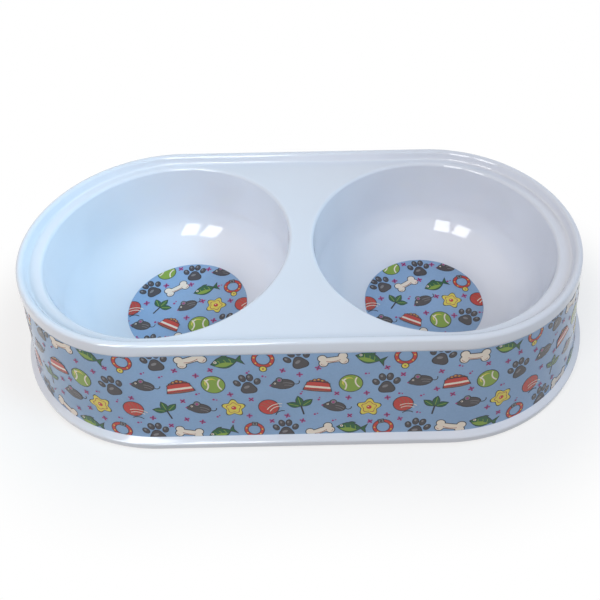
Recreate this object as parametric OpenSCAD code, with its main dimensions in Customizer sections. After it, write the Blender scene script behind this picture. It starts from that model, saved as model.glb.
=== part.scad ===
// Double pet bowl: two round bowls moulded in one tray, glued onto a flared, printed skirt.
// Sizes are in millimetres. The floor is at z = 0, the length runs along x and the front faces -y.

/* [Overall] */
// Length over the foot
body_length = 340; // [334:1:420]
// Width over the foot
body_width = 187; // [160:1:190]
// Height from the floor to the crest of the rim
body_height = 70; // [66:0.5:95]
// How far the foot stands out beyond the crest's outer edge
foot_flare = 16.5; // [14:0.5:22]

/* [Rim and deck] */
// Thickness of the rim at its crest
rim_thickness = 4.2; // [3.4:0.1:5.5]
// How much thicker the rim gets down to the deck
rim_draft = 0.8; // [0:0.1:1.6]
// Height from the lower edge of the rim's outer face to the crest
rim_height = 6.5; // [6.2:0.1:9]
// How far that lower edge stands out beyond the crest's outer edge
rim_lean = 1.1; // [0:0.1:2]
// Radius of the rounded lower edge of the rim
lip_edge = 0.4; // [0.2:0.1:0.6]
// Depth of the deck below the crest of the rim
deck_recess = 5.2; // [4:0.1:6]
// Thickness of the deck
deck_wall = 2.8; // [2:0.1:4]
// Radius of the hollow corner between the rim and the deck
deck_fillet = 1.2; // [0.4:0.1:1.8]
// Flat land between that corner and a bowl's mouth, at the front and the back
deck_land = 1.5; // [0.5:0.1:6]

/* [Bowls] */
// How far each bowl's centre lies inside the centre of the round end
bowl_inset = 2.5; // [0:0.5:4]
// Gap between the moulded ring under a bowl and the floor
base_clearance = 5; // [2:0.5:20]
// How far the edge of a bowl's flat floor lies inside its mouth
bowl_taper = 31.3; // [30:0.1:36]
// Radius of the curve from the floor into the wall
bowl_corner = 28; // [18:1:29]
// Thickness of a bowl's wall
bowl_wall = 2.8; // [2:0.1:4]
// Radius of the rounded edge of a bowl's mouth
mouth_edge = 2; // [0.8:0.1:2.6]
// How far the moulded ring under a bowl lies inside the edge of its floor
base_ring_inset = 7; // [2:0.5:12]
// Height of the moulded ring under a bowl
base_ring_height = 1.5; // [0.5:0.1:3]
// Width of the moulded ring under a bowl
base_ring_width = 3; // [2:0.1:5]

/* [Skirt] */
// Thickness of the skirt's wall
skirt_wall = 2.6; // [2:0.1:3.2]
// Width of the white ledge around the foot
ledge_width = 3.7; // [2.6:0.1:5]
// Height of the upper edge of that ledge above the floor
ledge_height = 7.4; // [6.2:0.1:12]
// Width of the foot's flat underside
foot_width = 6.5; // [5:0.1:9]
// Radius of the foot's rounded outer edge
foot_edge = 1.6; // [0.8:0.1:2]
// Bevel along the foot's lower outer edge
foot_bevel = 0.5; // [0.2:0.1:1]
// Share of the flare that the wall makes as a straight lean
lean_share = 0.93; // [0.5:0.01:1]
// Power of the curve that makes the rest of the flare, near the foot
flare_power = 4; // [2:0.5:6]

/* [Glued seam] */
// How far the rim's lower edge overhangs the skirt's face
lip_overhang = 0.4; // [0.2:0.1:0.8]
// Thickness of the tongue along the skirt's top edge
tongue_width = 1.3; // [1:0.1:1.6]
// Depth of the groove in the rim that takes the tongue
groove_depth = 2; // [1.5:0.1:2.4]
// Room on each side of the tongue in the groove
groove_clearance = 0.2; // [0.1:0.05:0.3]
// Thickness of the glue between the tongue's top and the groove
glue_thickness = 0.5; // [0.3:0.1:0.9]
// Open seam between the rim's lower edge and the skirt's shoulder
seam_gap = 0.3; // [0.1:0.1:0.6]
// Thickness of the tray's flange inside the skirt
flange_wall = 2; // [1.2:0.1:3]
// How far that flange hangs below the rim's lower edge
flange_drop = 4; // [3:0.1:8]

/* [Printed foils] */
// Thickness of a printed foil
print_thickness = 0.35; // [0.2:0.05:0.6]
// Room around a foil in its recess
print_clearance = 0.05; // [0.02:0.01:0.1]
// Plain strip of the skirt between its shoulder and the foil around the side
print_gap = 0.5; // [0.3:0.1:2]
// Plain margin between a bowl's round foil and the edge of its floor
bowl_print_margin = 1; // [0.5:0.1:8]

/* [Rubber feet] */
// Diameter of a rubber foot
pad_diameter = 12; // [8:0.5:13]
// Thickness of a rubber foot
pad_thickness = 2.5; // [1.8:0.1:3]
// How far a rubber foot stands below the skirt
pad_proud = 1; // [0.5:0.1:1.5]
// Diameter of the boss that holds a rubber foot
boss_diameter = 16; // [15:0.5:20]
// Height of the boss above the foot's underside
boss_height = 4; // [3:0.1:4.4]
// Room between the boss and the foot's outer face
boss_margin = 1.2; // [1:0.1:3]
// Angle of a rubber foot around the round end
pad_angle = 52; // [20:1:80]
// Thickness of the ribs over a boss
rib_thickness = 2; // [1.2:0.1:3]
// Distance between the two ribs over a boss
rib_spacing = 8; // [5:0.5:11]
// Height of the ribs above the boss
rib_height = 18; // [8:0.5:30]
// How far the ribs stay back from the boss's inner edge
rib_setback = 1.5; // [0.5:0.1:4]

/* [Hidden] */

$fn = 96;
overrun = body_height;
sides = [-1, 1];
band_steps = 16;

// Plan of the crest's outer edge: two half circles joined by straight runs
end_radius = body_width / 2 - foot_flare;
end_run = (body_length - body_width) / 2;

// Heights of the tray
deck_top = body_height - deck_recess;
deck_under = deck_top - deck_wall;
lip_bottom = body_height - rim_height;
groove_top = lip_bottom + groove_depth;
tongue_top = groove_top - glue_thickness;
shoulder = lip_bottom - seam_gap;
flange_bottom = lip_bottom - flange_drop;

// The rim's crest is a half round, and a slope runs from it down to the deck
crest_radius = rim_thickness / 2;
crest_centre = [-crest_radius, body_height - crest_radius];
slope_foot = [-rim_thickness - rim_draft, deck_top];
slope_run = slope_foot - crest_centre;
slope_angle = atan2(slope_run[1], slope_run[0]) + 360 - acos(crest_radius / norm(slope_run));
slope_head = crest_centre + crest_radius * [cos(slope_angle), sin(slope_angle)];
slope_dir = (slope_head - slope_foot) / norm(slope_head - slope_foot);
corner_half = (180 - atan2(slope_dir[1], slope_dir[0])) / 2;
corner_reach = deck_fillet / tan(corner_half);
corner_centre = slope_foot + [-corner_reach, deck_fillet];
slope_tail = slope_foot + corner_reach * slope_dir;

// The rim's outer face runs down from the crest to a rounded lower edge
lip_corner = [rim_lean, lip_bottom];
face_run = lip_corner - crest_centre;
face_angle = atan2(face_run[1], face_run[0]) + acos(crest_radius / norm(face_run));
face_head = crest_centre + crest_radius * [cos(face_angle), sin(face_angle)];
face_dir = (face_head - lip_corner) / norm(face_head - lip_corner);
lip_reach = lip_edge / tan((180 - atan2(face_dir[1], face_dir[0])) / 2);
lip_centre = lip_corner + [-lip_reach, lip_edge];

// Distances out from the crest's outer edge to the skirt's face, its tongue and the tray's flange
skirt_face = rim_lean - lip_overhang;
tongue_in = skirt_face - skirt_wall;
tongue_out = tongue_in + tongue_width;
flange_out = tongue_in - groove_clearance;
flange_in = flange_out - flange_wall;

// Section of a bowl: a flat floor, a round corner, a leaning wall and a rounded edge
mouth_radius = end_radius - rim_thickness - rim_draft - deck_fillet - deck_land;
bowl_x = end_run - bowl_inset;
floor_z = base_clearance + base_ring_height + bowl_wall;
floor_radius = mouth_radius - bowl_taper;
ring_radius = floor_radius - base_ring_inset;
bowl_print_radius = floor_radius - bowl_print_margin;
corner_c = [floor_radius, floor_z + bowl_corner];
edge_c = [mouth_radius, deck_top - mouth_edge];
span = edge_c - corner_c;
wall_angle = atan2(span[1], span[0]) - acos((bowl_corner + mouth_edge) / norm(span));
wall_normal = [cos(wall_angle), sin(wall_angle)];

// Section of the skirt's side: share 0 is the top of the printed band and share 1 its bottom
foot_bottom = pad_proud;
band_top = shoulder - print_gap;
band_height = band_top - ledge_height;
band_flare = foot_flare - ledge_width - skirt_face;
print_recess = print_thickness + print_clearance;
gap_share = print_clearance / band_height;

function flare_share(s) = lean_share * s + (1 - lean_share) * pow(s, flare_power);
function lean_rate_share(s) = lean_share + (1 - lean_share) * flare_power * pow(s, flare_power - 1);
function band_point(s) = [skirt_face + band_flare * flare_share(s), band_top - band_height * s];
function band_normal(s) =
    let (n = [band_height, band_flare * lean_rate_share(s)]) n / norm(n);
function band_inset(s, depth) = band_point(s) - depth * band_normal(s);
function band_line(from, to, depth) =
    [for (i = [0 : band_steps]) band_inset(from + (to - from) * i / band_steps, depth)];

// The foot's rounded edge, and the point where the ledge runs into it
foot_edge_c = [foot_flare - foot_edge, foot_bottom + foot_bevel + foot_edge
    + (ledge_height - foot_bottom - foot_bevel - foot_edge) / 2 - foot_edge / 2];
ledge_run = band_point(1) - foot_edge_c;
ledge_angle = atan2(ledge_run[1], ledge_run[0]) - acos(foot_edge / norm(ledge_run));
ledge_end = foot_edge_c + foot_edge * [cos(ledge_angle), sin(ledge_angle)];

// Bosses for the rubber feet
boss_set = foot_flare - boss_margin - boss_diameter / 2;
boss_top = foot_bottom + boss_height;
rib_top_share = (band_top - boss_top - rib_height) / band_height;
pad_seat = pad_thickness - pad_proud;

// Sweeps a section around the plan of the rim, with x = 0 at the crest's outer edge
module ring_sweep() {
    for (side = [0, 1]) mirror([side, 0, 0]) translate([end_run, 0, 0])
        rotate([0, 0, -90]) rotate_extrude(angle = 180) translate([end_radius, 0]) children();
    for (side = [0, 1]) mirror([0, side, 0]) translate([-end_run, 0, 0])
        rotate([90, 0, 90]) linear_extrude(2 * end_run) translate([end_radius, 0]) children();
}

// Flat plate with the plan of the rim, drawn in from the crest's outer edge by an inset
module plan_plate(inset, height) {
    linear_extrude(height) {
        square([2 * end_run, 2 * (end_radius - inset)], center = true);
        for (side = sides) translate([side * end_run, 0]) circle(r = end_radius - inset);
    }
}

module rim_section() {
    difference() {
        union() {
            polygon([corner_centre, slope_tail, slope_head, crest_centre, face_head,
                lip_corner + lip_reach * face_dir, lip_centre, [lip_centre[0], lip_bottom],
                [flange_out, lip_bottom], [flange_out, flange_bottom], [flange_in, flange_bottom],
                [flange_in, deck_under], [corner_centre[0], deck_under]]);
            translate(crest_centre) circle(r = crest_radius);
            translate(lip_centre) circle(r = lip_edge);
        }
        translate(corner_centre) circle(r = deck_fillet);
        translate([flange_out, lip_bottom - overrun])
            square([tongue_width + 2 * groove_clearance, groove_depth + overrun]);
    }
}

// Inside of a bowl, grown outwards by a wall
module bowl_section(grow) {
    intersection() {
        union() {
            polygon([[0, floor_z - grow], [corner_c[0], floor_z - grow], corner_c,
                corner_c + (bowl_corner + grow) * wall_normal,
                edge_c - (mouth_edge - grow) * wall_normal,
                [edge_c[0] + grow, deck_top], [edge_c[0] + grow, deck_top + overrun],
                [0, deck_top + overrun]]);
            translate(corner_c) circle(r = bowl_corner + grow);
        }
        square(overrun + body_width);
    }
}

module bowl_outside() {
    rotate_extrude() intersection() {
        bowl_section(bowl_wall);
        square([body_width, deck_top]);
    }
    translate([0, 0, floor_z - bowl_wall - base_ring_height]) difference() {
        cylinder(r = ring_radius, h = base_ring_height + bowl_wall);
        translate([0, 0, -overrun])
            cylinder(r = ring_radius - base_ring_width, h = base_ring_height + overrun);
    }
}

module bowl_inside() {
    rotate_extrude() difference() {
        bowl_section(0);
        translate(edge_c) circle(r = mouth_edge);
    }
    translate([0, 0, floor_z - print_thickness])
        cylinder(r = bowl_print_radius + print_clearance, h = print_thickness + bowl_wall);
}

module skirt_section() {
    union() {
        polygon(concat(
            [[tongue_out, tongue_top], [tongue_out, shoulder], [skirt_face, shoulder],
                [skirt_face, band_top]],
            band_line(0, 1, print_recess),
            [band_point(1), ledge_end, foot_edge_c, foot_edge_c + [foot_edge, 0],
                [foot_flare, foot_bottom + foot_bevel], [foot_flare - foot_bevel, foot_bottom],
                [foot_flare - foot_width, foot_bottom]],
            band_line(1, 0, skirt_wall),
            [[tongue_in, band_top], [tongue_in, tongue_top]]));
        translate(foot_edge_c) circle(r = foot_edge);
    }
}

// Puts its children at the four rubber feet, with x pointing outwards
module at_pad(side_x, side_y) {
    translate([side_x * end_run, 0, 0])
        rotate([0, 0, side_x > 0 ? side_y * pad_angle : 180 - side_y * pad_angle])
            translate([end_radius, 0, 0]) children();
}

module boss() {
    translate([boss_set, 0, foot_bottom]) cylinder(d = boss_diameter, h = boss_height);
    for (side = sides) translate([0, side * rib_spacing / 2 + rib_thickness / 2, 0])
        rotate([90, 0, 0]) linear_extrude(rib_thickness)
            polygon(concat([[boss_set - boss_diameter / 2 + rib_setback, boss_top - pad_seat / 2]],
                band_line(1, rib_top_share, skirt_wall / 2)));
}

module pad(side_x, side_y) {
    at_pad(side_x, side_y) translate([boss_set, 0, 0])
        cylinder(d = pad_diameter, h = pad_thickness);
}

module bowl_print(side) {
    translate([side * bowl_x, 0, floor_z - print_thickness])
        cylinder(r = bowl_print_radius, h = print_thickness);
}

// Moulded tray: raised rim, deck and both bowls in one piece
module bowl_tray() {
    color("white") difference() {
        union() {
            translate([0, 0, deck_under])
                plan_plate(flange_wall / 2 - flange_out, deck_wall);
            ring_sweep() rim_section();
            for (side = sides) translate([side * bowl_x, 0, 0]) bowl_outside();
        }
        for (side = sides) translate([side * bowl_x, 0, 0]) bowl_inside();
    }
}

// Moulded skirt: flared side, foot, and bosses with ribs for the rubber feet
module skirt() {
    color("whitesmoke") difference() {
        union() {
            ring_sweep() skirt_section();
            for (side_x = sides, side_y = sides) at_pad(side_x, side_y) boss();
        }
        for (side_x = sides, side_y = sides) at_pad(side_x, side_y)
            translate([boss_set, 0, foot_bottom - overrun])
                cylinder(d = pad_diameter + 2 * print_clearance, h = pad_seat + overrun);
    }
}

// Bead of glue between the skirt's tongue and the groove in the rim
module rim_adhesive() {
    color("ivory") ring_sweep() translate([tongue_in, tongue_top])
        square([tongue_width, glue_thickness]);
}

// Printed foil around the side
module side_print() {
    color("skyblue") ring_sweep() polygon(concat(
        band_line(gap_share, 1 - gap_share, 0),
        band_line(1 - gap_share, gap_share, print_thickness)));
}

// Round printed foils on the floors of the bowls
module left_bowl_print() { color("skyblue") bowl_print(-1); }
module right_bowl_print() { color("skyblue") bowl_print(1); }

// Rubber feet
module foot_front_left() { color("gainsboro") pad(-1, -1); }
module foot_front_right() { color("gainsboro") pad(1, -1); }
module foot_rear_left() { color("gainsboro") pad(-1, 1); }
module foot_rear_right() { color("gainsboro") pad(1, 1); }

bowl_tray();
skirt();
rim_adhesive();
side_print();
left_bowl_print();
right_bowl_print();
foot_front_left();
foot_front_right();
foot_rear_left();
foot_rear_right();
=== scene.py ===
import math
import random

import bmesh
import bpy
from mathutils import Matrix, Vector


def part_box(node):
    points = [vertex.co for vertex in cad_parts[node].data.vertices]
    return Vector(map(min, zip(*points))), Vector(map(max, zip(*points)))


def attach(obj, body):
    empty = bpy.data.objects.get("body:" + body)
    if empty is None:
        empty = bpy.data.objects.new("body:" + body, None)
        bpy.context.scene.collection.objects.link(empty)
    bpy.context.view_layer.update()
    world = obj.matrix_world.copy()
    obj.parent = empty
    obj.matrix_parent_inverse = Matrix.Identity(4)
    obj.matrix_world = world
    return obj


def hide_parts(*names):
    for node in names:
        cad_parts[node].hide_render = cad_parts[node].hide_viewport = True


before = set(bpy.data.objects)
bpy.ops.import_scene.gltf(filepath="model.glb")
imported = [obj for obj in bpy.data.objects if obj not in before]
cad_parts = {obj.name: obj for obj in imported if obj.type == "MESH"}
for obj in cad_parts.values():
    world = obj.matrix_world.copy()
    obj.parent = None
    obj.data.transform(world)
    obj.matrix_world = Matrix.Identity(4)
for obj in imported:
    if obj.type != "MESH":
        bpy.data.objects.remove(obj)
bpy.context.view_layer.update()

# A double pet bowl: a tray with two round bowls, glued onto a flared skirt with a printed band.
# The front faces -y, and every length is in metres.
MM = 0.001

# Corners of the nodes' boxes in the frame
tray_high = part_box("bowl_tray")[1]
skirt_low, skirt_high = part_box("skirt")
disc_low, disc_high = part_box("right_bowl_print")
glue_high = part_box("rim_adhesive")[1]
pad_low, pad_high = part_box("foot_front_right")

# Sizes read from those corners. The rim leans out below its crest, and the end radius is the crest's.
RIM_LEAN = 1.1 * MM
CREST = tray_high.z
END_RADIUS = tray_high.y - RIM_LEAN
END_RUN = tray_high.x - tray_high.y
FOOT_FLARE = skirt_high.y - END_RADIUS
FOOT_BOTTOM = skirt_low.z
TONGUE_TOP = skirt_high.z
GROOVE_TOP = glue_high.z
BOWL_X = (disc_low.x + disc_high.x) / 2
DISC_RADIUS = (disc_high.x - disc_low.x) / 2
FLOOR = disc_high.z
DISC_THICKNESS = disc_high.z - disc_low.z
PAD_RADIUS = (pad_high.x - pad_low.x) / 2
PAD_TOP = pad_high.z
PAD_X = (pad_low.x + pad_high.x) / 2
PAD_Y = (pad_low.y + pad_high.y) / 2

# Sizes of the tray's section
RIM_THICKNESS = 4.2 * MM
RIM_DRAFT = 0.8 * MM
RIM_HEIGHT = 6.5 * MM
LIP_EDGE = 0.4 * MM
LIP_OVERHANG = 0.4 * MM
GROOVE_CLEARANCE = 0.2 * MM
TONGUE_WIDTH = 1.3 * MM
SKIRT_WALL = 2.6 * MM
FLANGE_WALL = 2 * MM
FLANGE_DROP = 4 * MM
DECK_RECESS = 5.2 * MM
DECK_WALL = 2.8 * MM
DECK_FILLET = 1.2 * MM
DECK_LAND = 1.5 * MM
DECK_TOP = CREST - DECK_RECESS
DECK_UNDER = DECK_TOP - DECK_WALL
LIP_BOTTOM = CREST - RIM_HEIGHT
SKIRT_FACE = RIM_LEAN - LIP_OVERHANG
TONGUE_IN = SKIRT_FACE - SKIRT_WALL
TONGUE_OUT = TONGUE_IN + TONGUE_WIDTH
FLANGE_OUT = TONGUE_IN - GROOVE_CLEARANCE
FLANGE_IN = FLANGE_OUT - FLANGE_WALL

# Sizes of a bowl's section
DISC_MARGIN = 1 * MM
BOWL_CORNER = 28 * MM
BOWL_WALL = 2.8 * MM
MOUTH_EDGE = 2 * MM
RING_INSET = 7 * MM
RING_WIDTH = 3 * MM
RING_HEIGHT = 1.5 * MM
FLOOR_RADIUS = DISC_RADIUS + DISC_MARGIN
MOUTH_RADIUS = END_RADIUS - RIM_THICKNESS - RIM_DRAFT - DECK_FILLET - DECK_LAND
RING_RADIUS = FLOOR_RADIUS - RING_INSET
CORNER_CENTRE = (FLOOR_RADIUS, FLOOR + BOWL_CORNER)
EDGE_CENTRE = (MOUTH_RADIUS, DECK_TOP - MOUTH_EDGE)

# Sizes of the skirt's section
SEAM_GAP = 0.3 * MM
LEDGE_WIDTH = 3.7 * MM
LEDGE_HEIGHT = 7.4 * MM
FOOT_WIDTH = 6.5 * MM
FOOT_EDGE = 1.6 * MM
FOOT_BEVEL = 0.5 * MM
PRINT_RECESS = 0.4 * MM
PRINT_THICKNESS = 0.35 * MM
PRINT_GAP = 0.5 * MM
LEAN_SHARE = 0.93
FLARE_POWER = 4
SHOULDER = LIP_BOTTOM - SEAM_GAP
BAND_TOP = SHOULDER - PRINT_GAP
BAND_HEIGHT = BAND_TOP - LEDGE_HEIGHT
BAND_FLARE = FOOT_FLARE - LEDGE_WIDTH - SKIRT_FACE

# Sizes of the bosses for the rubber feet
BOSS_RADIUS = 8 * MM
BOSS_HEIGHT = 4 * MM
BOSS_DROP = 0.05 * MM
SEAT_CLEARANCE = 0.1 * MM
RIB_THICKNESS = 2 * MM
RIB_SPACING = 8 * MM
RIB_HEIGHT = 18 * MM
RIB_SETBACK = 1.5 * MM
RIB_ROOT = 0.2 * MM

# Sizes of the rubber feet
PAD_EDGE = 0.4 * MM
PAD_GROOVE = 0.25 * MM
PAD_GROOVE_SHARE = 0.6

# Bevel along the edge of a round foil
FOIL_BEVEL = 0.1 * MM

# Steps of the round stretches
END_STEPS = 72
BOWL_STEPS = 128
BAND_STEPS = 24
CREST_STEPS = 14
SMALL_STEPS = 6
MOUTH_STEPS = 10
CORNER_STEPS = 28
FOOT_STEPS = 8
BOSS_STEPS = 48
PAD_STEPS = 64
SOLE_STEPS = 5

# Length of the short faces that keep the shading of the straight sides apart from the round ends
GUARD = 1 * MM
# Distances under which points are one, or lie on a cutting plane
WELD = 0.001 * MM
ON_PLANE = 0.0001 * MM
# Angle in degrees from which an edge looks sharp
CREASE = 35


# Points and sections

def arc(centre, radius, start, end, steps):
    """Points along an arc, from one angle to another in degrees."""
    points = []
    for i in range(steps + 1):
        angle = math.radians(start + (end - start) * i / steps)
        points.append((centre[0] + radius * math.cos(angle), centre[1] + radius * math.sin(angle)))
    return points


def band_point(share):
    """A point of the printed band's section, from its top at 0 to its bottom at 1."""
    flare = LEAN_SHARE * share + (1 - LEAN_SHARE) * share ** FLARE_POWER
    return Vector((SKIRT_FACE + BAND_FLARE * flare, BAND_TOP - BAND_HEIGHT * share))


def band_normal(share):
    """The way the printed band faces there, straight off its surface."""
    rate = LEAN_SHARE + (1 - LEAN_SHARE) * FLARE_POWER * share ** (FLARE_POWER - 1)
    return Vector((BAND_HEIGHT, BAND_FLARE * rate)).normalized()


def band_line(start, end, depth):
    """The band's section, set in from its surface by a depth."""
    shares = [start + (end - start) * i / BAND_STEPS for i in range(BAND_STEPS + 1)]
    return [tuple(band_point(s) - depth * band_normal(s)) for s in shares]


def tangent_angle(centre, radius, point, side):
    """The angle, in degrees, at which a line from a point touches a circle, on one side of it."""
    run = Vector(point) - Vector(centre)
    return math.degrees(math.atan2(run.y, run.x) + side * math.acos(radius / run.length)) % 360


def rim_section():
    """From the deck over the rim, down its face and through the groove to the deck's underside."""
    radius = RIM_THICKNESS / 2
    crest = (-radius, CREST - radius)
    slope_foot = (-RIM_THICKNESS - RIM_DRAFT, DECK_TOP)
    inner = tangent_angle(crest, radius, slope_foot, -1)
    reach = DECK_FILLET / math.tan(math.radians((180 - (inner - 90)) / 2))
    fillet = (slope_foot[0] - reach, DECK_TOP + DECK_FILLET)
    outer = tangent_angle(crest, radius, (RIM_LEAN, LIP_BOTTOM), 1)
    lip_reach = LIP_EDGE / math.tan(math.radians((90 - outer) / 2))
    lip = (RIM_LEAN - lip_reach, LIP_BOTTOM + LIP_EDGE)
    groove_out = TONGUE_OUT + GROOVE_CLEARANCE
    return (
        [(fillet[0] - DECK_FILLET / 2, DECK_TOP)]
        + arc(fillet, DECK_FILLET, -90, inner - 180, SMALL_STEPS)
        + arc(crest, radius, inner, outer, CREST_STEPS)
        + arc(lip, LIP_EDGE, outer, -90, SMALL_STEPS)
        + [(groove_out, LIP_BOTTOM), (groove_out, GROOVE_TOP), (FLANGE_OUT, GROOVE_TOP),
           (FLANGE_OUT, LIP_BOTTOM - FLANGE_DROP), (FLANGE_IN, LIP_BOTTOM - FLANGE_DROP),
           (FLANGE_IN, DECK_UNDER)]
    )


def bowl_wall_turn():
    """The way a bowl's straight wall faces away from the bowl, in degrees above level."""
    span = Vector(EDGE_CENTRE) - Vector(CORNER_CENTRE)
    return math.degrees(math.atan2(span.y, span.x) - math.acos((BOWL_CORNER + MOUTH_EDGE) / span.length))


def bowl_inside_section():
    """From the deck over the mouth's edge and down the wall to the middle of the floor's recess."""
    turn = bowl_wall_turn()
    recess = DISC_RADIUS + (PRINT_RECESS - PRINT_THICKNESS)
    return (
        [(MOUTH_RADIUS + DECK_FILLET / 4, DECK_TOP)]
        + arc(EDGE_CENTRE, MOUTH_EDGE, 90, 180 + turn, MOUTH_STEPS)
        + arc(CORNER_CENTRE, BOWL_CORNER, turn, -90, CORNER_STEPS)
        + [(recess, FLOOR), (recess, FLOOR - DISC_THICKNESS), (0, FLOOR - DISC_THICKNESS)]
    )


def bowl_outside_section():
    """From the deck's underside down the outer wall to the middle of the base."""
    turn = bowl_wall_turn()
    base = FLOOR - BOWL_WALL
    radius = BOWL_CORNER + BOWL_WALL
    c, s = math.cos(math.radians(turn)), math.sin(math.radians(turn))
    rise = (DECK_UNDER - CORNER_CENTRE[1] - radius * s) / c
    root = CORNER_CENTRE[0] + radius * c - rise * s
    return (
        [(root, DECK_UNDER)]
        + arc(CORNER_CENTRE, radius, turn, -90, CORNER_STEPS)
        + [(RING_RADIUS, base), (RING_RADIUS, base - RING_HEIGHT),
           (RING_RADIUS - RING_WIDTH, base - RING_HEIGHT), (RING_RADIUS - RING_WIDTH, base), (0, base)]
    )


def skirt_section():
    """The skirt's closed section: printed side, ledge, foot and inner wall."""
    middle = (LEDGE_HEIGHT + FOOT_BOTTOM + FOOT_BEVEL) / 2
    foot = Vector((FOOT_FLARE - FOOT_EDGE, middle))
    run = band_point(1) - foot
    ledge = math.degrees(math.atan2(run.y, run.x) - math.acos(FOOT_EDGE / run.length))
    return (
        [(TONGUE_OUT, TONGUE_TOP), (TONGUE_OUT, SHOULDER), (SKIRT_FACE, SHOULDER), (SKIRT_FACE, BAND_TOP)]
        + band_line(0, 1, PRINT_RECESS)
        + [tuple(band_point(1))]
        + arc(foot, FOOT_EDGE, ledge, 0, FOOT_STEPS)
        + [(FOOT_FLARE, FOOT_BOTTOM + FOOT_BEVEL), (FOOT_FLARE - FOOT_BEVEL, FOOT_BOTTOM),
           (FOOT_FLARE - FOOT_WIDTH, FOOT_BOTTOM)]
        + band_line(1, 0, SKIRT_WALL)
        + [(TONGUE_IN, BAND_TOP), (TONGUE_IN, TONGUE_TOP)]
    )


# Mesh tools

def chain(bm, places, closed):
    """A line of vertices and edges through the places."""
    verts = [bm.verts.new(place) for place in places]
    pairs = list(zip(verts, verts[1:]))
    if closed:
        pairs.append((verts[-1], verts[0]))
    return verts + [bm.edges.new(pair) for pair in pairs]


def verts_of(geom):
    """The vertices among some geometry."""
    return [g for g in geom if isinstance(g, bmesh.types.BMVert)]


def edges_of(geom):
    """The edges among some geometry."""
    return [g for g in geom if isinstance(g, bmesh.types.BMEdge)]


def fill_outline(bm, places):
    """A flat face inside a closed line through the places."""
    return bmesh.ops.edgeloop_fill(bm, edges=edges_of(chain(bm, places, True)))["faces"][0]


def sweep_ring(bm, section, closed):
    """Sweeps a section around the plan. Its points are (distance out from the rim's face, height)."""
    last = chain(bm, [(END_RUN, -END_RADIUS - out, height) for out, height in section], closed)
    for side in (1, -1):
        spun = bmesh.ops.spin(bm, geom=last, cent=(side * END_RUN, 0, 0), axis=(0, 0, 1),
                              angle=math.pi, steps=END_STEPS)
        last = spun["geom_last"]
        for stretch in (GUARD, 2 * END_RUN - 2 * GUARD, GUARD):
            grown = bmesh.ops.extrude_edge_only(bm, edges=edges_of(last))["geom"]
            bmesh.ops.translate(bm, vec=(-side * stretch, 0, 0), verts=verts_of(grown))
            last = verts_of(grown) + edges_of(grown)
    bmesh.ops.remove_doubles(bm, verts=bm.verts, dist=WELD)


def revolve(bm, section, centre_x, centre_y=0, steps=BOWL_STEPS):
    """Turns a section of (radius, height) points about an upright axis."""
    line = chain(bm, [(centre_x + radius, centre_y, height) for radius, height in section], False)
    bmesh.ops.spin(bm, geom=line, cent=(centre_x, centre_y, 0), axis=(0, 0, 1),
                   angle=2 * math.pi, steps=steps, use_merge=True)
    bmesh.ops.remove_doubles(bm, verts=bm.verts, dist=WELD)


def fill_level(bm, height, up):
    """Closes the open loops that lie at one height with a flat face that has holes."""
    rims = [edge for edge in bm.edges
            if edge.is_boundary and all(abs(vert.co.z - height) < WELD for vert in edge.verts)]
    bmesh.ops.triangle_fill(bm, use_beauty=True, edges=rims, normal=(0, 0, up))


def make_piece(name, bm, materials, replaced=(), recalc=True):
    """Turns a bmesh into a shaded piece that rides on the root body. Prints already face outwards."""
    if recalc:
        bmesh.ops.recalc_face_normals(bm, faces=bm.faces)
    for face in bm.faces:
        face.smooth = True
    for edge in bm.edges:
        edge.smooth = edge.calc_face_angle(0) < math.radians(CREASE)
    mesh = bpy.data.meshes.new(name)
    bm.to_mesh(mesh)
    bm.free()
    for material in materials:
        mesh.materials.append(material)
    piece = bpy.data.objects.new(name, mesh)
    bpy.context.scene.collection.objects.link(piece)
    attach(piece, "root")
    if replaced:
        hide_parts(*replaced)
    return piece


# Materials

# Rub marks run along the floor, so their noise is finer in height
RUB_STRETCH = (1, 1, 4)


def srgb(red, green, blue):
    """A colour written as the 0 to 255 values that it renders as."""
    def linear(value):
        value /= 255
        return value / 12.92 if value <= 0.04045 else ((value + 0.055) / 1.055) ** 2.4
    return (linear(red), linear(green), linear(blue), 1)


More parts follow.
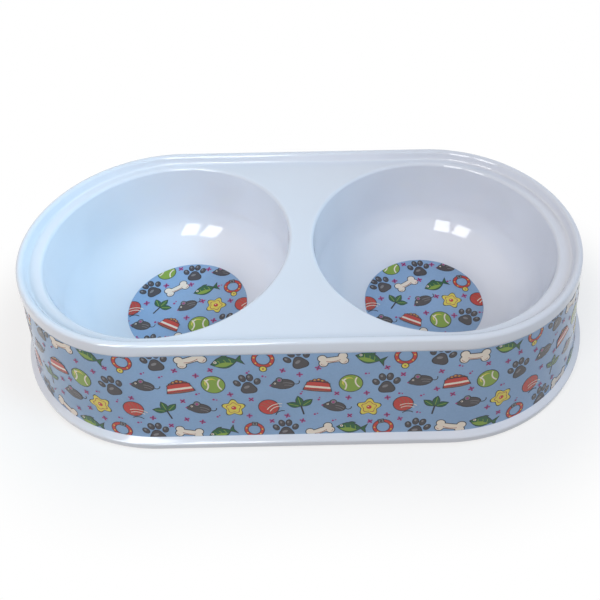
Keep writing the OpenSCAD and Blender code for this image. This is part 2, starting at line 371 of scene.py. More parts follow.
class Finish:
    """A material with one Principled shader, and small helpers to wire nodes to it."""

    # The stretch in which nearly all values of a noise lie
    LOW_AT = 0.3
    HIGH_AT = 0.7

    def __init__(self, name):
        self.material = bpy.data.materials.new(name)
        self.material.use_nodes = True
        self.nodes = self.material.node_tree.nodes
        self.shader = self.nodes["Principled BSDF"]
        self.place = self.nodes.new("ShaderNodeTexCoord").outputs["Object"]

    def join(self, output, node_input):
        """Wires an output to an input."""
        self.material.node_tree.links.new(output, node_input)

    def noise(self, scale, detail, stretch=None):
        """A noise of so many lumps to the metre, finer along an axis that a stretch makes larger."""
        node = self.nodes.new("ShaderNodeTexNoise")
        node.inputs["Scale"].default_value = scale
        node.inputs["Detail"].default_value = detail
        source = self.place
        if stretch:
            mapping = self.nodes.new("ShaderNodeMapping")
            mapping.inputs["Scale"].default_value = stretch
            self.join(self.place, mapping.inputs["Vector"])
            source = mapping.outputs["Vector"]
        self.join(source, node.inputs["Vector"])
        return node.outputs["Fac"]

    def ramp(self, value, low, high):
        """Turns a noise into a colour between two."""
        node = self.nodes.new("ShaderNodeValToRGB")
        node.color_ramp.elements[0].position = self.LOW_AT
        node.color_ramp.elements[0].color = low
        node.color_ramp.elements[1].position = self.HIGH_AT
        node.color_ramp.elements[1].color = high
        self.join(value, node.inputs["Fac"])
        return node.outputs["Color"]

    def span(self, value, low, high):
        """Turns a noise into a number between two."""
        node = self.nodes.new("ShaderNodeMapRange")
        node.inputs["From Min"].default_value = self.LOW_AT
        node.inputs["From Max"].default_value = self.HIGH_AT
        node.inputs["To Min"].default_value = low
        node.inputs["To Max"].default_value = high
        self.join(value, node.inputs["Value"])
        return node.outputs["Result"]

    def bump(self, height, strength, distance):
        """Raises the surface by a noise."""
        node = self.nodes.new("ShaderNodeBump")
        node.inputs["Strength"].default_value = strength
        node.inputs["Distance"].default_value = distance
        self.join(height, node.inputs["Height"])
        self.join(node.outputs["Normal"], self.shader.inputs["Normal"])


def scaled(colour, factor):
    """A colour made darker or lighter by a factor."""
    return (*(c * factor for c in colour[:3]), 1)


def melamine(name, colour):
    """Glossy moulded plastic with faint clouding, rub marks and a slightly wavy skin."""
    finish = Finish(name)
    cloud = finish.noise(scale=14, detail=3)
    finish.join(finish.ramp(cloud, scaled(colour, 0.965), colour), finish.shader.inputs["Base Color"])
    rubs = finish.noise(scale=60, detail=6, stretch=RUB_STRETCH)
    finish.join(finish.span(rubs, 0.05, 0.1), finish.shader.inputs["Roughness"])
    finish.bump(finish.noise(scale=90, detail=1), strength=0.06, distance=0.4 * MM)
    finish.shader.inputs["IOR"].default_value = 1.58
    finish.shader.inputs["Coat Weight"].default_value = 0.25
    finish.shader.inputs["Coat Roughness"].default_value = 0.04
    return finish.material


def foil_ground(name, colour):
    """The printed foil's plain ground: soft clouds of ink and a fine grain under a clear skin."""
    finish = Finish(name)
    clouds = finish.noise(scale=22, detail=3)
    grain = finish.noise(scale=900, detail=2)
    tint = finish.nodes.new("ShaderNodeMix")
    tint.data_type = "RGBA"
    tint.blend_type = "MULTIPLY"
    tint.inputs["Factor"].default_value = 1
    finish.join(finish.ramp(clouds, scaled(colour, 0.93), scaled(colour, 1.05)), tint.inputs["A"])
    finish.join(finish.ramp(grain, (0.93, 0.93, 0.94, 1), (1, 1, 1, 1)), tint.inputs["B"])
    finish.join(tint.outputs["Result"], finish.shader.inputs["Base Color"])
    rubs = finish.noise(scale=60, detail=6, stretch=RUB_STRETCH)
    finish.join(finish.span(rubs, 0.10, 0.18), finish.shader.inputs["Roughness"])
    finish.shader.inputs["IOR"].default_value = 1.5
    return finish.material


def ink(name, colour):
    """A flat printed ink: one colour, with a grain in its gloss and a faint pile where it lies."""
    finish = Finish(name)
    finish.shader.inputs["Base Color"].default_value = colour
    grain = finish.noise(scale=700, detail=3)
    finish.join(finish.span(grain, 0.12, 0.24), finish.shader.inputs["Roughness"])
    finish.bump(grain, strength=0.08, distance=0.05 * MM)
    finish.shader.inputs["IOR"].default_value = 1.5
    return finish.material


def rubber(name, colour):
    """Matt rubber with a fine grain."""
    finish = Finish(name)
    grain = finish.noise(scale=1500, detail=4)
    finish.join(finish.ramp(grain, scaled(colour, 0.88), colour), finish.shader.inputs["Base Color"])
    finish.join(finish.span(grain, 0.55, 0.72), finish.shader.inputs["Roughness"])
    finish.bump(grain, strength=0.3, distance=0.1 * MM)
    return finish.material


def glue(name, colour):
    """Dull, slightly cloudy glue."""
    finish = Finish(name)
    cloud = finish.noise(scale=300, detail=3)
    finish.join(finish.ramp(cloud, scaled(colour, 0.9), colour), finish.shader.inputs["Base Color"])
    finish.join(finish.span(cloud, 0.35, 0.5), finish.shader.inputs["Roughness"])
    return finish.material


white = melamine("white melamine", srgb(227, 229, 237))
print_blue = foil_ground("print ground blue", srgb(142, 173, 208))
INKS = {
    "line": ink("ink line", srgb(44, 44, 52)),
    "charcoal": ink("ink charcoal", srgb(74, 69, 71)),
    "grey": ink("ink grey", srgb(128, 124, 126)),
    "cream": ink("ink cream", srgb(236, 222, 206)),
    "red": ink("ink red", srgb(196, 60, 52)),
    "rust": ink("ink rust", srgb(168, 84, 66)),
    "yellow": ink("ink yellow", srgb(226, 206, 84)),
    "lime": ink("ink lime", srgb(134, 162, 60)),
    "green": ink("ink green", srgb(38, 94, 56)),
    "magenta": ink("ink magenta", srgb(164, 62, 122)),
}
INK_ORDER = list(INKS)


# Motifs of the print, in millimetres about their own middle. Each is a list of (ink, outline) from the
# bottom layer to the top one.

def placed(points, x, y, turn, size=1):
    """Points turned by degrees, sized, and moved to a place."""
    c, s = math.cos(math.radians(turn)) * size, math.sin(math.radians(turn)) * size
    return [(x + px * c - py * s, y + px * s + py * c) for px, py in points]


def oval(x, y, wide, high, turn=0, steps=22):
    """An ellipse by its half width and half height, turned by degrees."""
    angles = [2 * math.pi * i / steps for i in range(steps)]
    return placed([(wide * math.cos(a), high * math.sin(a)) for a in angles], x, y, turn)


def lobed(x, y, radius, lobes, depth, turn=0, steps=50):
    """A round outline with evenly spaced soft lobes."""
    points = []
    for i in range(steps):
        a = 2 * math.pi * i / steps
        r = radius * (1 + depth * math.cos(lobes * (a - math.radians(turn))))
        points.append((x + r * math.cos(a), y + r * math.sin(a)))
    return points


def lens(x, y, length, width, turn=0, steps=12):
    """A leaf shape: two arcs that meet in points."""
    points = []
    for i in range(2 * steps):
        t = i / steps
        along = 1 - 2 * t if t < 1 else 2 * t - 3
        points.append((length / 2 * along, width / 2 * math.sin(math.pi * t)))
    return placed(points, x, y, turn)


def bar(x0, y0, x1, y1, width):
    """A straight stroke with square ends."""
    along = Vector((x1 - x0, y1 - y0)).normalized() * width / 2
    across = Vector((-along.y, along.x))
    a, b = Vector((x0, y0)), Vector((x1, y1))
    return [tuple(a + across), tuple(a - across), tuple(b - across), tuple(b + across)]


def bow(x, y, radius, start, end, width, steps=12):
    """A curved stroke along an arc."""
    outer = arc((x, y), radius + width / 2, start, end, steps)
    return outer + arc((x, y), radius - width / 2, end, start, steps)


def paw():
    """A paw print: one broad pad and four toes."""
    toes = [(-4.9, 1.6, 1.7, 2.3, 24), (-1.8, 4.5, 1.75, 2.5, 8),
            (1.8, 4.5, 1.75, 2.5, -8), (4.9, 1.6, 1.7, 2.3, -24)]
    line = [("line", oval(x, y, w, h, t)) for x, y, w, h, t in toes]
    fill = [("charcoal", oval(x, y, w - 0.4, h - 0.4, t)) for x, y, w, h, t in toes]
    shine = [("grey", oval(x - 0.3, y + 0.7, 0.55, 0.8, t)) for x, y, w, h, t in toes]
    pad = [("line", lobed(0, -2.4, 3.9, 3, 0.12, 90)), ("charcoal", lobed(0, -2.4, 3.45, 3, 0.12, 90)),
           ("grey", oval(-0.7, -1.4, 1.5, 0.8, 20))]
    return line + fill + shine + pad


def bone():
    """A chew bone with a knuckle at each corner."""
    knuckles = [(-5.1, 1.6), (-5.1, -1.6), (5.1, 1.6), (5.1, -1.6)]
    line = [("line", oval(x, y, 2.5, 2.4)) for x, y in knuckles] + [("line", bar(-5, 0, 5, 0, 4.1))]
    fill = [("cream", oval(x, y, 2.05, 1.95)) for x, y in knuckles] + [("cream", bar(-5, 0, 5, 0, 3.2))]
    shade = [("rust", bow(0, 9, 10.2, 250, 290, 0.35)), ("rust", bow(-5.1, -1.5, 1.2, 190, 290, 0.3)),
             ("rust", bow(5.1, -1.5, 1.2, 250, 350, 0.3))]
    return line + fill + shade


def ball():
    """A lime ball with two curved seams."""
    return [("line", oval(0, 0, 6.1, 6.1, steps=36)), ("lime", oval(0, 0, 5.65, 5.65, steps=36)),
            ("yellow", oval(-1.2, 1.6, 3.2, 2.6, 30)), ("lime", oval(-0.7, 1.0, 3.0, 2.4, 30)),
            ("cream", bow(-7.4, 0, 5.0, -44, 44, 0.8)), ("cream", bow(7.4, 0, 5.0, 136, 224, 0.8)),
            ("cream", oval(-2.4, 3.3, 0.9, 0.5, 35))]


def fish():
    """A little green fish."""
    return [("line", lens(-1, 0, 13.5, 7.6)), ("line", [(4.0, 0), (8.2, 3.6), (7.2, 0), (8.2, -3.6)]),
            ("green", [(4.6, 0), (7.6, 2.7), (6.8, 0), (7.6, -2.7)]), ("green", lens(-1, 0, 12.3, 6.7)),
            ("lime", lens(-1.4, -1.3, 9.0, 2.6)), ("line", lens(-0.2, 3.6, 4.6, 1.6, 8)),
            ("green", lens(-0.2, 3.45, 3.8, 0.9, 8)), ("lime", bow(-5.6, 0, 2.6, -38, 38, 0.35)),
            ("lime", bow(-2.8, 0, 2.6, -38, 38, 0.35)), ("lime", bow(-0.4, 0, 2.6, -36, 36, 0.35)),
            ("cream", oval(-5.0, 0.9, 0.75, 0.75)), ("line", oval(-5.05, 0.9, 0.36, 0.36))]


def dish():
    """A red food dish, heaped with biscuits."""
    heap = [(-3.4, 1.3), (-1.7, 2.3), (0.1, 2.9), (1.9, 2.3), (3.5, 1.3), (-0.9, 1.0), (1.0, 1.0)]
    side = [(-5.6, 0.9), (5.6, 0.9), (7.2, -4.2), (-7.2, -4.2)]
    inner = [(-5.3, 0.6), (5.3, 0.6), (6.6, -3.8), (-6.6, -3.8)]
    stripe = [(-5.95, -1.2), (5.95, -1.2), (6.35, -2.5), (-6.35, -2.5)]
    crumbs = []
    for x, y in heap:
        crumbs += [("line", oval(x, y, 1.45, 1.15)), ("rust", oval(x, y, 1.1, 0.85)),
                   ("yellow", oval(x - 0.25, y + 0.25, 0.4, 0.25))]
    return crumbs + [("line", side), ("line", oval(0, 0.9, 5.9, 1.15)), ("red", inner),
                     ("cream", stripe), ("red", oval(0, 0.75, 5.4, 0.75)), ("line", oval(0, -4.1, 7.3, 0.75)),
                     ("rust", oval(0, -4.0, 6.7, 0.42))]


def biscuit():
    """A yellow star-shaped biscuit with a red middle."""
    return [("line", lobed(0, 0, 5.3, 5, 0.20, 90)), ("yellow", lobed(0, 0, 4.8, 5, 0.20, 90)),
            ("rust", lobed(0, 0, 3.5, 5, 0.14, 90)), ("yellow", lobed(0, 0, 3.1, 5, 0.14, 90)),
            ("red", oval(0, 0, 1.3, 1.3)), ("cream", oval(-0.4, 0.4, 0.4, 0.3))]


def sprig():
    """Three leaves on a stem."""
    leaves = [(-3.3, 1.5, 150), (3.3, 1.5, 30), (0, 3.4, 90)]
    line = [("line", lens(x, y, 7.6, 4.0, turn)) for x, y, turn in leaves]
    fill = [("green", lens(x, y, 6.7, 3.3, turn)) for x, y, turn in leaves]
    veins = []
    for x, y, turn in leaves:
        dx, dy = 2.4 * math.cos(math.radians(turn)), 2.4 * math.sin(math.radians(turn))
        veins.append(("lime", bar(x - dx, y - dy, x + dx, y + dy, 0.35)))
    return [("line", bar(0, -6, 0, 0, 0.9))] + line + fill + veins


def wool():
    """A red ball of wool with a loose end."""
    return [("line", oval(0, 0, 5.4, 5.4, steps=36)), ("red", oval(0, 0, 4.95, 4.95, steps=36)),
            ("rust", bow(-6, -2, 5.4, -30, 62, 0.5)), ("rust", bow(-6, -2, 7.2, -24, 56, 0.5)),
            ("rust", bow(-6, -2, 9.0, -12, 40, 0.5)), ("cream", bow(4, -7, 6.0, 68, 138, 0.45)),
            ("cream", bow(4, -7, 7.8, 66, 134, 0.45)), ("line", bow(4.6, -8.4, 3.9, 60, 150, 0.55))]


def mouse():
    """A dark toy mouse with a string tail."""
    return [("line", bow(6.2, 1.8, 1.6, 225, 390, 0.5)), ("line", oval(0, 0, 5.6, 3.5, 6)),
            ("line", lens(-4.0, -0.9, 5.6, 3.8, 10)), ("charcoal", oval(0, 0, 5.15, 3.05, 6)),
            ("charcoal", lens(-3.9, -0.85, 4.8, 3.0, 10)), ("line", oval(-1.9, 2.7, 1.75, 1.8)),
            ("grey", oval(-1.9, 2.7, 1.3, 1.35)), ("magenta", oval(-1.9, 2.5, 0.7, 0.75)),
            ("grey", bow(1.6, -6.2, 7.2, 66, 104, 0.35)), ("grey", bow(1.8, -7.8, 7.2, 70, 100, 0.3)),
            ("cream", oval(-4.0, 0.3, 0.55, 0.55)), ("line", oval(-4.1, 0.3, 0.26, 0.26)),
            ("magenta", oval(-6.3, -1.3, 0.5, 0.45))]


def collar():
    """A red collar with a buckle and a yellow tag. Its studs stand at angles in radians."""
    studs = [("yellow", oval(4.3 * math.cos(a), 1 + 4.3 * math.sin(a), 0.42, 0.42, steps=10))
             for a in (0.2, -0.65, 2.94, 3.79)]
    return [("line", bow(0, 1, 4.3, 100, 440, 2.3, 30)), ("red", bow(0, 1, 4.3, 101, 439, 1.5, 30)),
            ("line", bar(-1.6, 5.3, 1.6, 5.3, 2.9)), ("grey", bar(-1.15, 5.3, 1.15, 5.3, 2.1)),
            ("line", bar(-0.6, 5.3, 0.6, 5.3, 1.0)), ("line", oval(0, -5.1, 1.95, 1.95)),
            ("yellow", oval(0, -5.1, 1.5, 1.5)), ("rust", oval(0, -5.1, 0.5, 0.5, steps=12))] + studs


def blossom():
    """A small four-petalled mark. Its petals stand at angles in radians, an eighth turn off the axes."""
    petals = [("magenta", oval(1.05 * math.cos(a), 1.05 * math.sin(a), 0.95, 0.62, math.degrees(a), steps=10))
              for a in (0.785, 2.356, 3.927, 5.498)]
    return petals + [("line", oval(0, 0, 0.42, 0.42, steps=10))]


def dots():
    """Two small marks side by side."""
    return [("magenta", oval(-0.8, 0.2, 0.75, 0.75, steps=14)),
            ("magenta", oval(0.95, -0.35, 0.5, 0.5, steps=12))]


MOTIFS = [paw, dish, sprig, bone, ball, mouse, fish, paw, biscuit, collar, mouse, wool]
MARKS = [blossom, blossom, dots]

# Layout of the print around the side. The column's sway, and the places and sways of the two small marks
# beside each motif, are shares of the pitch along and of the row pitch down. Turns are in degrees.
SIDE_SEED = 11
COLUMNS = 48
ROWS = 4
ROW_FIRST = 3.6 * MM
ROW_PITCH = 16.6 * MM
ROW_SWAY = 1.1 * MM
COLUMN_SWAY = 0.03
SIDE_TURN = 24
SIDE_SIZES = (0.98, 1.06)
MARK_PLACES = ((0, 0.62), (0.5, 0.38))
MARK_SWAY_ALONG = 0.08
MARK_SWAY_DOWN = 0.04
MARK_CHANCE = 0.8
MARK_SIZE = 0.85

# Layout of the print on the round foils in the bowls. The reach counts rows and columns to each side of
# the middle, and the sway and the marks' drop are shares of the pitch.
DISC_SEED = 5
DISC_PITCH = 17.6 * MM
DISC_ROW_SHARE = 0.82
DISC_REACH = 3
DISC_SWAY = 0.06
DISC_TURN = 40
DISC_SIZES = (1.0, 1.1)
DISC_MARK_DROP = (0.12, 0.22)
DISC_SIDES = 72

# Plain strip along a foil's edge, the lift of the lowest ink, the thickness of each ink, and the level
# at which the marks lie, above all the motifs
PRINT_EDGE = 0.3 * MM
INK_LIFT = 0.05 * MM
INK_STEP = 0.012 * MM
MARK_LEVEL = 9

# A motif is cut into strips that bend with the band: down the band, and also along it where its reach
# touches the round ends
DOWN_STRIP = 7 * MM
ALONG_STRIP = 2.5 * MM
MOTIF_REACH = 20 * MM

# The length of the print is that of the plan a third of the way out to the foot
PLAN_RADIUS = END_RADIUS + FOOT_FLARE / 3
PERIMETER = 4 * END_RUN + 2 * math.pi * PLAN_RADIUS
BAND_LENGTH = sum((band_point((i + 1) / BAND_STEPS) - band_point(i / BAND_STEPS)).length
                  for i in range(BAND_STEPS))


def stacked(layers):
    """Gives each outline of a motif the level above whatever it lies on."""
    stack = []
    for tone, outline in layers:
        xs, ys = zip(*outline)
        box = (min(xs), min(ys), max(xs), max(ys))
        below = [level for other, level, _, _ in stack
                 if other[0] < box[2] and box[0] < other[2] and other[1] < box[3] and box[1] < other[3]]
        stack.append((box, 1 + max(below, default=-1), tone, outline))
    return [(level, tone, outline) for _, level, tone, outline in stack]


def flat_motif(layers, x, y, turn, size, first_level=0):
    """A motif's outlines as flat faces, in metres, each a little above what it lies on."""
    bm = bmesh.new()
    for level, tone, outline in stacked(layers):
        height = INK_LIFT + (first_level + level) * INK_STEP
        face = fill_outline(bm, [(px, py, height) for px, py in placed(outline, x, y, turn, size * MM)])
        face.material_index = INK_ORDER.index(tone)
        face.normal_update()
        if face.normal.z < 0:
            face.normal_flip()
    bmesh.ops.triangulate(bm, faces=bm.faces, ngon_method="EAR_CLIP")
    return bm


def cut(bm, point, normal, clear=False):
    """Cuts a mesh along a plane, and clears away what lies beyond it if asked."""
    bmesh.ops.bisect_plane(bm, geom=bm.verts[:] + bm.edges[:] + bm.faces[:], dist=ON_PLANE,
                           plane_co=point, plane_no=normal, clear_outer=clear)


def cut_across(bm, axis, pitch):
    """Cuts a flat motif at every whole step of a pitch along an axis."""
    places = [vert.co[axis] for vert in bm.verts]
    if not places:
        return
    normal = Vector((axis == 0, axis == 1, 0))
    for i in range(math.ceil(min(places) / pitch), math.floor(max(places) / pitch) + 1):
        cut(bm, normal * i * pitch, normal)


def place_on_side(along, down, lift):
    """A point on the printed band, from its distances along the perimeter, down the band and off it."""
    share = min(max(down / BAND_LENGTH, 0), 1)
    out, height = band_point(share) + lift * band_normal(share)
    along = (along + END_RUN) % PERIMETER
    side = 1 if along < PERIMETER / 2 else -1
    along = along % (PERIMETER / 2)
    radius = END_RADIUS + out
    if along < 2 * END_RUN:
        return Vector((side * (along - END_RUN), -side * radius, height))
    angle = (along - 2 * END_RUN) / PLAN_RADIUS - math.pi / 2
    return Vector((side * (END_RUN + radius * math.cos(angle)), side * radius * math.sin(angle), height))


def add_to(bm, part):
    """Moves a finished part of a print into the whole one."""
    mesh = bpy.data.meshes.new("part")
    part.to_mesh(mesh)
    part.free()
    bm.from_mesh(mesh)
    bpy.data.meshes.remove(mesh)


def print_on_side(bm, layers, x, y, turn, size, first_level=0):
    """Adds a motif to the band's print, x along the perimeter and y down the band."""
    part = flat_motif(layers, x, -y, turn, size, first_level)
    cut(part, (0, -PRINT_EDGE, 0), (0, 1, 0), clear=True)
    cut(part, (0, PRINT_EDGE - BAND_LENGTH, 0), (0, -1, 0), clear=True)
    cut_across(part, 1, DOWN_STRIP)
    from_middle = abs((x + PERIMETER / 4) % (PERIMETER / 2) - PERIMETER / 4)
    if END_RUN - MOTIF_REACH < from_middle:
        cut_across(part, 0, ALONG_STRIP)
    for vert in part.verts:
        vert.co = place_on_side(vert.co.x, -vert.co.y, vert.co.z)
    add_to(bm, part)


def side_motifs():
    """The printed motifs around the side, in staggered rows that the band's edges crop."""
    rng = random.Random(SIDE_SEED)
    bm = bmesh.new()
    pitch = PERIMETER / COLUMNS
    for row in range(ROWS):
        for column in range(COLUMNS):
            x = (column + 0.5 * (row % 2) + rng.uniform(-COLUMN_SWAY, COLUMN_SWAY)) * pitch
            y = ROW_FIRST + row * ROW_PITCH + rng.uniform(-ROW_SWAY, ROW_SWAY)
            kind = MOTIFS[(column * 3 + row) % len(MOTIFS)]
            turn = rng.uniform(-SIDE_TURN, SIDE_TURN)
            print_on_side(bm, kind(), x, y, turn, rng.uniform(*SIDE_SIZES))
            for i, (over, drop) in enumerate(MARK_PLACES):
                mark = MARKS[(column + row * 2 + i) % len(MARKS)]
                if rng.random() < MARK_CHANCE:
                    mark_x = x + (over + rng.uniform(-MARK_SWAY_ALONG, MARK_SWAY_ALONG)) * pitch
                    mark_y = y + (drop + rng.uniform(-MARK_SWAY_DOWN, MARK_SWAY_DOWN)) * ROW_PITCH
                    print_on_side(bm, mark(), mark_x, mark_y, rng.uniform(0, 90), MARK_SIZE, MARK_LEVEL)
    return make_piece("side_print_motifs", bm, INKS.values(), recalc=False)


def bowl_motifs(side):
    """The printed motifs on a bowl's floor, cropped by the round foil's edge and alike in both bowls."""
    rng = random.Random(DISC_SEED)
    bm = bmesh.new()
    for row in range(-DISC_REACH, DISC_REACH + 1):
        for column in range(-DISC_REACH, DISC_REACH + 1):
            x = (column + 0.5 * (row % 2) + rng.uniform(-DISC_SWAY, DISC_SWAY)) * DISC_PITCH
            y = (row * DISC_ROW_SHARE + rng.uniform(-DISC_SWAY, DISC_SWAY)) * DISC_PITCH
            kind = MOTIFS[(column * 3 + row + 5) % len(MOTIFS)]
            turn = rng.uniform(-DISC_TURN, DISC_TURN)
            add_to(bm, flat_motif(kind(), x, y, turn, rng.uniform(*DISC_SIZES)))
            mark = MARKS[(column + row * 2) % len(MARKS)]
            mark_y = y + rng.uniform(*DISC_MARK_DROP) * DISC_PITCH
            add_to(bm, flat_motif(mark(), x + 0.5 * DISC_PITCH, mark_y, rng.uniform(0, 90), 1, MARK_LEVEL))
    for i in range(DISC_SIDES):
        angle = 2 * math.pi * i / DISC_SIDES
        normal = Vector((math.cos(angle), math.sin(angle), 0))
        cut(bm, normal * (DISC_RADIUS - PRINT_EDGE), normal, clear=True)
    bmesh.ops.translate(bm, vec=(side * BOWL_X, 0, FLOOR), verts=bm.verts)
    name = "right_bowl_motifs" if side > 0 else "left_bowl_motifs"
    return make_piece(name, bm, INKS.values(), recalc=False)


# Pieces

def make_tray():
    """The tray: rim, groove and flange swept around, both bowls turned, and the deck between them."""
    bm = bmesh.new()
    sweep_ring(bm, rim_section(), False)
    for side in (-1, 1):
        revolve(bm, bowl_inside_section(), side * BOWL_X)
        revolve(bm, bowl_outside_section(), side * BOWL_X)
    fill_level(bm, DECK_TOP, 1)
    fill_level(bm, DECK_UNDER, -1)
    return make_piece("tray", bm, [white], ["bowl_tray"])


def add_boss(bm, side_x, side_y):
    """A boss for a rubber foot, with two ribs that run up to the skirt's wall."""
    centre = Vector((side_x * PAD_X, side_y * abs(PAD_Y), 0))
    top = FOOT_BOTTOM + BOSS_HEIGHT
    bottom = FOOT_BOTTOM - BOSS_DROP
    seat = PAD_RADIUS + SEAT_CLEARANCE
    section = [(0, top), (BOSS_RADIUS, top), (BOSS_RADIUS, bottom),
               (seat, bottom), (seat, PAD_TOP), (0, PAD_TOP)]
    revolve(bm, section, centre.x, centre.y, steps=BOSS_STEPS)
    end_centre = Vector((side_x * END_RUN, 0, 0))
    outward = centre - end_centre
    boss_set = outward.length - END_RADIUS
    outward.normalize()
    across = Vector((-outward.y, outward.x, 0))
    top_share = (BAND_TOP - top - RIB_HEIGHT) / BAND_HEIGHT
    outline = [(boss_set - BOSS_RADIUS + RIB_SETBACK, top - RIB_ROOT)]
    outline += band_line(1, top_share, SKIRT_WALL / 2)
    for shift in (-RIB_SPACING / 2, RIB_SPACING / 2):
        start = end_centre + across * (shift - RIB_THICKNESS / 2)
        face = fill_outline(bm, [start + outward * (END_RADIUS + out) + Vector((0, 0, height))
                                 for out, height in outline])
        grown = bmesh.ops.extrude_face_region(bm, geom=[face])["geom"]
        bmesh.ops.translate(bm, vec=across * RIB_THICKNESS, verts=verts_of(grown))


def make_skirt():
    """The skirt: its section swept around, and the four bosses."""
    bm = bmesh.new()
    sweep_ring(bm, skirt_section(), True)
    for side_x in (-1, 1):
        for side_y in (-1, 1):
            add_boss(bm, side_x, side_y)
    return make_piece("skirt_shell", bm, [white], ["skirt"])


def make_side_foil():
    """The foil around the side, which lies in the skirt's recess."""
    bm = bmesh.new()
    gap = (PRINT_RECESS - PRINT_THICKNESS) / BAND_HEIGHT
    sweep_ring(bm, band_line(gap, 1 - gap, 0) + band_line(1 - gap, gap, PRINT_THICKNESS), True)
    return make_piece("side_foil", bm, [print_blue], ["side_print"])


def make_bowl_foil(name, node, side):
    """The round foil on a bowl's floor."""
    bm = bmesh.new()
    section = [(0, FLOOR), (DISC_RADIUS - FOIL_BEVEL, FLOOR), (DISC_RADIUS, FLOOR - FOIL_BEVEL),
               (DISC_RADIUS, FLOOR - DISC_THICKNESS), (0, FLOOR - DISC_THICKNESS)]
    revolve(bm, section, side * BOWL_X)
    return make_piece(name, bm, [print_blue], [node])


def make_pad(node, side_x, side_y, material):
    """A rubber foot with a rounded lower edge and a shallow ring pressed into its sole."""
    bm = bmesh.new()
    groove = PAD_RADIUS * PAD_GROOVE_SHARE
    section = (
        [(0, PAD_TOP), (PAD_RADIUS, PAD_TOP)]
        + arc((PAD_RADIUS - PAD_EDGE, PAD_EDGE), PAD_EDGE, 0, -90, SOLE_STEPS)
        + [(groove + PAD_GROOVE, 0), (groove, PAD_GROOVE), (groove - PAD_GROOVE, 0), (0, 0)]
    )
    revolve(bm, section, side_x * PAD_X, side_y * abs(PAD_Y), steps=PAD_STEPS)
    return make_piece(node + "_pad", bm, [material], [node])


def make_pads():
    """The four rubber feet."""
    grey_rubber = rubber("grey rubber", srgb(186, 190, 196))
    for side_y, row_name in ((-1, "front"), (1, "rear")):
        for side_x, column_name in ((-1, "left"), (1, "right")):
            make_pad("foot_" + row_name + "_" + column_name, side_x, side_y, grey_rubber)


def finish_glue():
    """Gives the frame's own bead of glue its finish."""
    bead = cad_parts["rim_adhesive"]
    bead.data.materials.clear()
    bead.data.materials.append(glue("seam glue", srgb(222, 220, 208)))


make_tray()
make_skirt()
make_side_foil()
make_bowl_foil("left_bowl_foil", "left_bowl_print", -1)
make_bowl_foil("right_bowl_foil", "right_bowl_print", 1)
side_motifs()
bowl_motifs(-1)
bowl_motifs(1)
make_pads()
finish_glue()


# Floor, light and camera

# Half the width of the paper that the bowl stands on
PAPER_HALF = 6
# The paper's colour as soft light meets it, and as the camera and reflections see it
PAPER_TO_LIGHT = (0.12, 0.12, 0.12, 1)
PAPER_TO_EYE = (1, 0.97, 0.94, 1)
# The share of plain white in the paper close to the foot. It grows to 1 between two distances from the
# bowl's middle line.
FADE_LOW = 0.6
FADE_GAP = 3 * MM
FADE_RUN = 60 * MM
FADE_START = END_RADIUS + FOOT_FLARE + FADE_GAP
FADE_END = FADE_START + FADE_RUN

# Colour and strength of the soft light from all round
SKY_COLOUR = (0.86, 0.91, 1, 1)
SKY_STRENGTH = 0.24

# The camera, fitted to the outlines in the photograph: place, turns in degrees and lens
CAMERA_PLACE = (0.018, -0.24378, 0.28986)
CAMERA_TURN = -0.209
CAMERA_DOWN = 48.704
CAMERA_ROLL = -1.021
CAMERA_LENS = 35.481
CAMERA_SHIFT = -0.06
SENSOR_WIDTH = 36


def math_node(nodes, links, operation, *values):
    """A Math node whose inputs are numbers or other nodes' outputs."""
    node = nodes.new("ShaderNodeMath")
    node.operation = operation
    for i, value in enumerate(values):
        if isinstance(value, (int, float)):
            node.inputs[i].default_value = value
        else:
            links.new(value, node.inputs[i])
    return node.outputs["Value"]


def seen_straight(nodes, links):
    """1 where the camera, a reflection or a clear material sees the surface, and 0 for soft light."""
    path = nodes.new("ShaderNodeLightPath")
    seen = math_node(nodes, links, "MAXIMUM", path.outputs["Is Camera Ray"], path.outputs["Is Glossy Ray"])
    return math_node(nodes, links, "MAXIMUM", seen, path.outputs["Is Transmission Ray"])


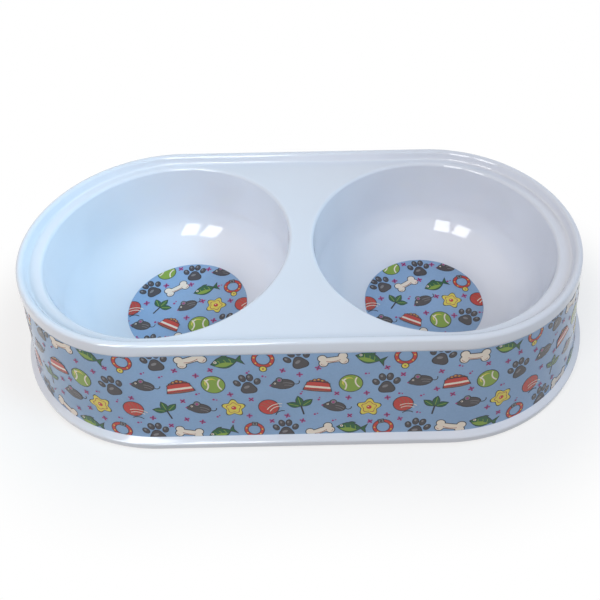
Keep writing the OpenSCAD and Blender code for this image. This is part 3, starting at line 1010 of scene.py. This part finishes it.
def pale_floor():
    """White paper, which takes the bowl's shadow and runs out into plain white further off."""
    material = bpy.data.materials.new("pale floor")
    material.use_nodes = True
    nodes = material.node_tree.nodes
    links = material.node_tree.links
    paper = nodes["Principled BSDF"]
    paper.inputs["Roughness"].default_value = 0.9
    paper.inputs["Specular IOR Level"].default_value = 0.1
    seen = seen_straight(nodes, links)
    colour = nodes.new("ShaderNodeMix")
    colour.data_type = "RGBA"
    colour.inputs["A"].default_value = PAPER_TO_LIGHT
    colour.inputs["B"].default_value = PAPER_TO_EYE
    links.new(seen, colour.inputs["Factor"])
    links.new(colour.outputs["Result"], paper.inputs["Base Color"])
    glow = nodes.new("ShaderNodeEmission")
    glow.inputs["Strength"].default_value = 1
    place = nodes.new("ShaderNodeSeparateXYZ")
    links.new(nodes.new("ShaderNodeTexCoord").outputs["Object"], place.inputs["Vector"])
    along = math_node(nodes, links, "ABSOLUTE", place.outputs["X"])
    past_end = math_node(nodes, links, "MAXIMUM", math_node(nodes, links, "SUBTRACT", along, END_RUN), 0)
    squares = math_node(nodes, links, "ADD", math_node(nodes, links, "POWER", past_end, 2),
                        math_node(nodes, links, "MULTIPLY", place.outputs["Y"], place.outputs["Y"]))
    fade = nodes.new("ShaderNodeMapRange")
    fade.interpolation_type = "SMOOTHSTEP"
    fade.inputs["From Min"].default_value = FADE_START
    fade.inputs["From Max"].default_value = FADE_END
    fade.inputs["To Min"].default_value = FADE_LOW
    links.new(math_node(nodes, links, "SQRT", squares), fade.inputs["Value"])
    mix = nodes.new("ShaderNodeMixShader")
    links.new(math_node(nodes, links, "MULTIPLY", fade.outputs["Result"], seen), mix.inputs["Fac"])
    links.new(paper.outputs["BSDF"], mix.inputs[1])
    links.new(glow.outputs["Emission"], mix.inputs[2])
    links.new(mix.outputs["Shader"], nodes["Material Output"].inputs["Surface"])
    return material


def make_floor():
    """A pale floor, wide enough to fill the view behind the bowl."""
    bm = bmesh.new()
    bmesh.ops.create_grid(bm, x_segments=1, y_segments=1, size=PAPER_HALF)
    mesh = bpy.data.meshes.new("floor")
    bm.to_mesh(mesh)
    bm.free()
    floor = bpy.data.objects.new("floor", mesh)
    bpy.context.scene.collection.objects.link(floor)
    mesh.materials.append(pale_floor())


def make_soft_box(name, turn, rise, distance, size, power, colour, lights=True, shines=True):
    """A soft light that faces the bowl, from a turn clockwise off the front and a rise, in degrees."""
    light = bpy.data.lights.new(name, "AREA")
    light.shape = "RECTANGLE"
    light.size, light.size_y = size
    light.energy = power
    light.color = colour
    across, up = math.radians(turn), math.radians(rise)
    away = Vector((-math.sin(across) * math.cos(up), -math.cos(across) * math.cos(up), math.sin(up)))
    lamp = bpy.data.objects.new(name, light)
    lamp.location = away * distance
    lamp.rotation_euler = away.to_track_quat("Z", "Y").to_euler()
    lamp.visible_camera = False
    lamp.visible_diffuse = lights
    lamp.visible_glossy = shines
    bpy.context.scene.collection.objects.link(lamp)


def make_spot(name, place, target, cone, softness, power, colour):
    """A cone of light, in degrees, from a place to a target, which leaves no highlight of its own."""
    light = bpy.data.lights.new(name, "SPOT")
    light.energy = power
    light.color = colour
    light.spot_size = math.radians(cone)
    light.spot_blend = 1
    light.shadow_soft_size = softness
    lamp = bpy.data.objects.new(name, light)
    lamp.location = place
    lamp.rotation_euler = (Vector(place) - Vector(target)).to_track_quat("Z", "Y").to_euler()
    lamp.visible_camera = False
    lamp.visible_glossy = False
    bpy.context.scene.collection.objects.link(lamp)


def make_sky():
    """Soft cool light from all round, and plain white where the camera or a reflection sees it."""
    world = bpy.data.worlds.new("studio")
    world.use_nodes = True
    nodes = world.node_tree.nodes
    links = world.node_tree.links
    light = nodes["Background"]
    light.inputs["Color"].default_value = SKY_COLOUR
    light.inputs["Strength"].default_value = SKY_STRENGTH
    backdrop = nodes.new("ShaderNodeBackground")
    backdrop.inputs["Color"].default_value = (1, 1, 1, 1)
    mix = nodes.new("ShaderNodeMixShader")
    links.new(seen_straight(nodes, links), mix.inputs["Fac"])
    links.new(light.outputs["Background"], mix.inputs[1])
    links.new(backdrop.outputs["Background"], mix.inputs[2])
    links.new(mix.outputs["Shader"], nodes["World Output"].inputs["Surface"])
    bpy.context.scene.world = world


def make_camera():
    """The camera at the photograph's viewing angle."""
    data = bpy.data.cameras.new("camera")
    data.sensor_width = SENSOR_WIDTH
    data.lens = CAMERA_LENS
    data.shift_x = CAMERA_SHIFT
    camera = bpy.data.objects.new("camera", data)
    turn = Matrix.Rotation(math.radians(CAMERA_TURN), 4, "Z")
    tilt = Matrix.Rotation(math.radians(90 - CAMERA_DOWN), 4, "X")
    roll = Matrix.Rotation(math.radians(CAMERA_ROLL), 4, "Z")
    camera.matrix_world = Matrix.Translation(CAMERA_PLACE) @ turn @ tilt @ roll
    bpy.context.scene.collection.objects.link(camera)
    bpy.context.scene.camera = camera


def make_lights():
    """A warm key, a weak light from behind, cool light on the ends, and a window seen in the gloss."""
    make_soft_box("key", turn=34, rise=44, distance=2.0, size=(1.2, 1.2), power=21.4,
                  colour=(1, 0.98, 0.96), shines=False)
    make_soft_box("back fill", turn=180, rise=25, distance=1.2, size=(0.8, 0.5), power=2.0,
                  colour=(1, 0.99, 0.97), shines=False)
    make_soft_box("cool sky", turn=-90, rise=42, distance=1.0, size=(0.9, 0.5), power=2.9,
                  colour=(0.62, 0.8, 1), shines=False)
    make_spot("cool spot", place=(0.25, -0.1, 0.4), target=(-0.165, 0, 0.06), cone=34, softness=0.12,
              power=9, colour=(0.44, 0.8, 1))
    for name, turn in (("window pane left", 39), ("window pane right", 15)):
        make_soft_box(name, turn=turn, rise=30, distance=0.85, size=(0.21, 0.66), power=2.6,
                      colour=(1, 1, 1), lights=False)


make_floor()
make_sky()
make_lights()
make_camera()
bpy.context.scene.view_settings.view_transform = "Standard"
